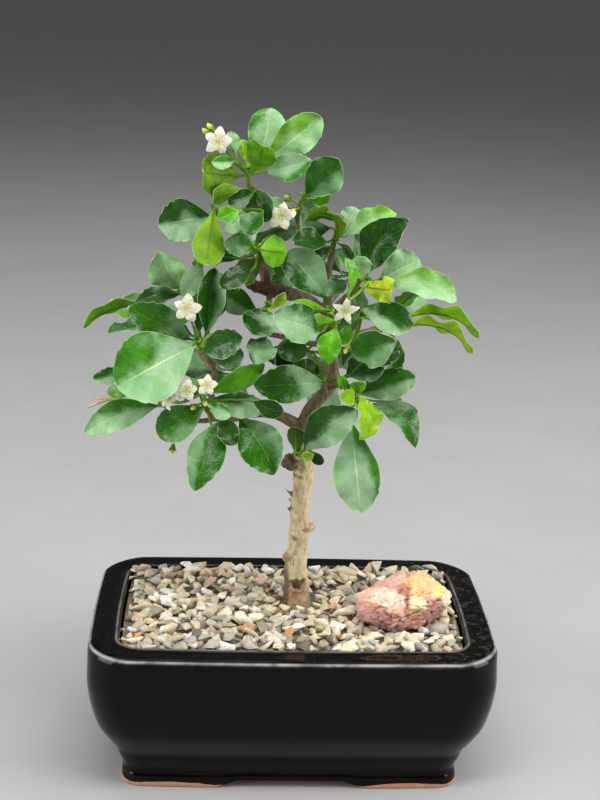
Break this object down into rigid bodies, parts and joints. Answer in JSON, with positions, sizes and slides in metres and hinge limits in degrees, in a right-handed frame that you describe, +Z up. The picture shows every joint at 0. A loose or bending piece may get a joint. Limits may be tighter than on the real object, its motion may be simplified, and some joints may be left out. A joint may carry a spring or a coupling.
{
  "type": "fukien tea bonsai",
  "caption": "Flowering fukien tea bonsai with glossy leaves and small white blooms, rooted in a black glazed rectangular pot with gravel and an accent stone.",
  "frame": {"origin": "on the supporting surface, under the middle of the model's box", "axes": "+Z up the trunk, +X along the pot towards the accent stone, +Y from the pot's front to its back"},
  "size_m": [0.155, 0.0994, 0.249],
  "materials": {
    "black_glaze": "glossy black glaze, feet bare clay underneath",
    "screen_plastic": "matte",
    "soil": "crumbly, damp",
    "pebbles": "dull, mixed beige and grey",
    "pink_stone": "rough, pink to yellow",
    "bark": "rough bark",
    "leaf_green": "glossy, leathery leaf",
    "petal_white": "soft petal"
  },
  "bodies": {
    "root": {"pot": "black_glaze", "drain_screen_left": "screen_plastic", "drain_screen_right": "screen_plastic", "soil": "soil", "gravel": "pebbles", "accent_stone": "pink_stone", "trunk": "bark", "spray_top_left": "leaf_green", "spray_top_centre": "leaf_green", "spray_crown": "leaf_green", "spray_right_top": "leaf_green", "spray_right_mid": "leaf_green", "spray_centre": "leaf_green", "spray_centre_left": "leaf_green", "spray_left_top": "leaf_green", "spray_left_inner": "leaf_green", "spray_left_mid": "leaf_green", "spray_left_low": "leaf_green", "spray_low_left": "leaf_green", "spray_far_left": "leaf_green", "spray_shiny": "leaf_green", "spray_mid_left": "leaf_green", "spray_trunk_top": "leaf_green", "spray_right_low": "leaf_green", "spray_back_low": "leaf_green", "spray_back_left_low": "leaf_green", "spray_back_right": "leaf_green", "spray_back_left": "leaf_green", "spray_back_top": "leaf_green", "spray_back_far_left": "leaf_green", "spray_back_far_right": "leaf_green", "flower_1": "petal_white", "flower_2": "petal_white", "flower_3": "petal_white", "flower_4": "petal_white", "flower_5": "petal_white", "flower_6": "petal_white", "flower_7": "petal_white"}
  },
  "joints": []
}
